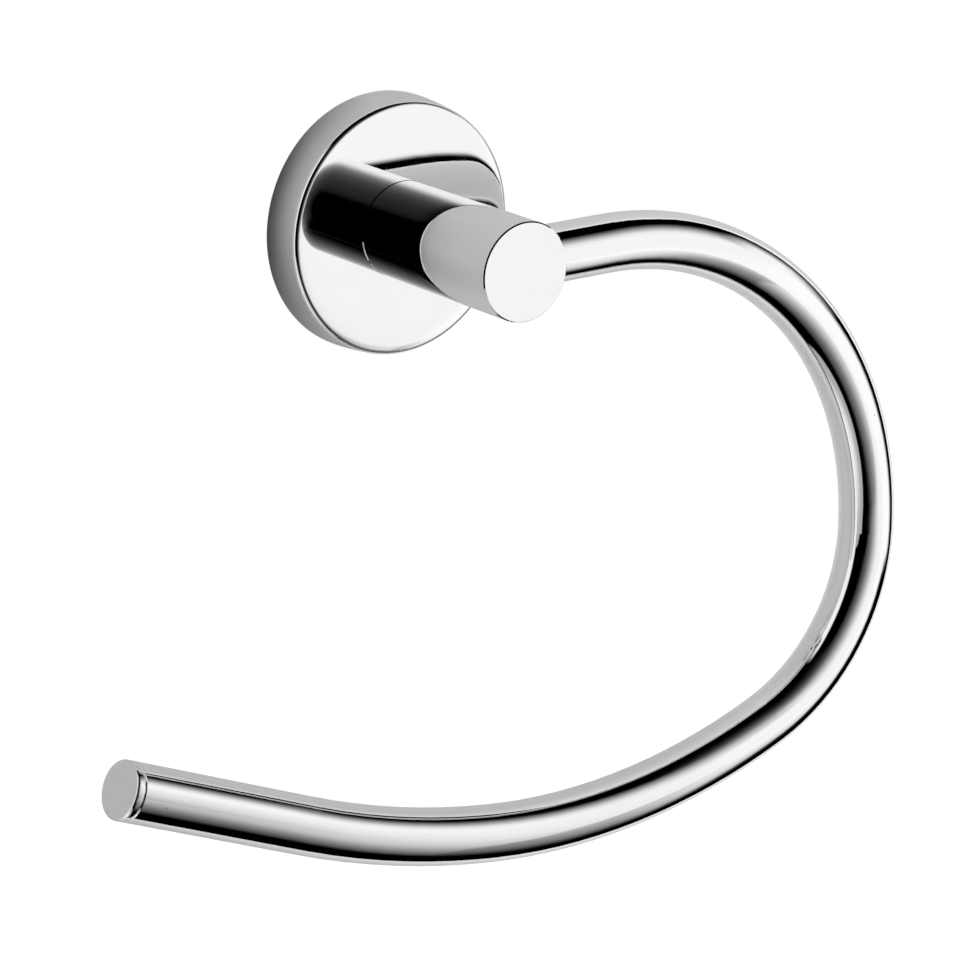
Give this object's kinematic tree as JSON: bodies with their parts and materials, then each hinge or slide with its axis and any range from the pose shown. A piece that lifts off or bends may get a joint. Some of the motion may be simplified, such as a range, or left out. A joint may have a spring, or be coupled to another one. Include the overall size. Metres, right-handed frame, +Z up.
{
  "type": "towel ring",
  "caption": "Wall-mounted open towel ring: a round rose and post carry a bent tube with a capped free end.",
  "frame": {"origin": "centre of the rose and of the two wall screw holes, in the plane of the wall", "axes": "+Z up, +Y into the wall, +X along the arm from the post towards the tube's far side"},
  "size_m": [0.1949, 0.0502, 0.1543],
  "materials": {
    "zinc_plate": "dull zinc plated steel",
    "rose_chrome": "polished chrome plate",
    "post_chrome": "polished chrome plate",
    "tube_chrome": "polished chrome plate",
    "cap_chrome": "polished chrome plate",
    "screw_steel": "plain stainless steel",
    "insert_brass": "turned brass"
  },
  "bodies": {
    "root": {"wall_plate": "zinc_plate", "rose": "rose_chrome", "rose_grub_screw": "screw_steel", "post_washer": "screw_steel", "post_screw": "screw_steel", "post": "post_chrome", "ring_tube": "tube_chrome", "tube_insert": "insert_brass", "arm_grub_screw": "screw_steel", "end_cap": "cap_chrome"}
  },
  "joints": []
}
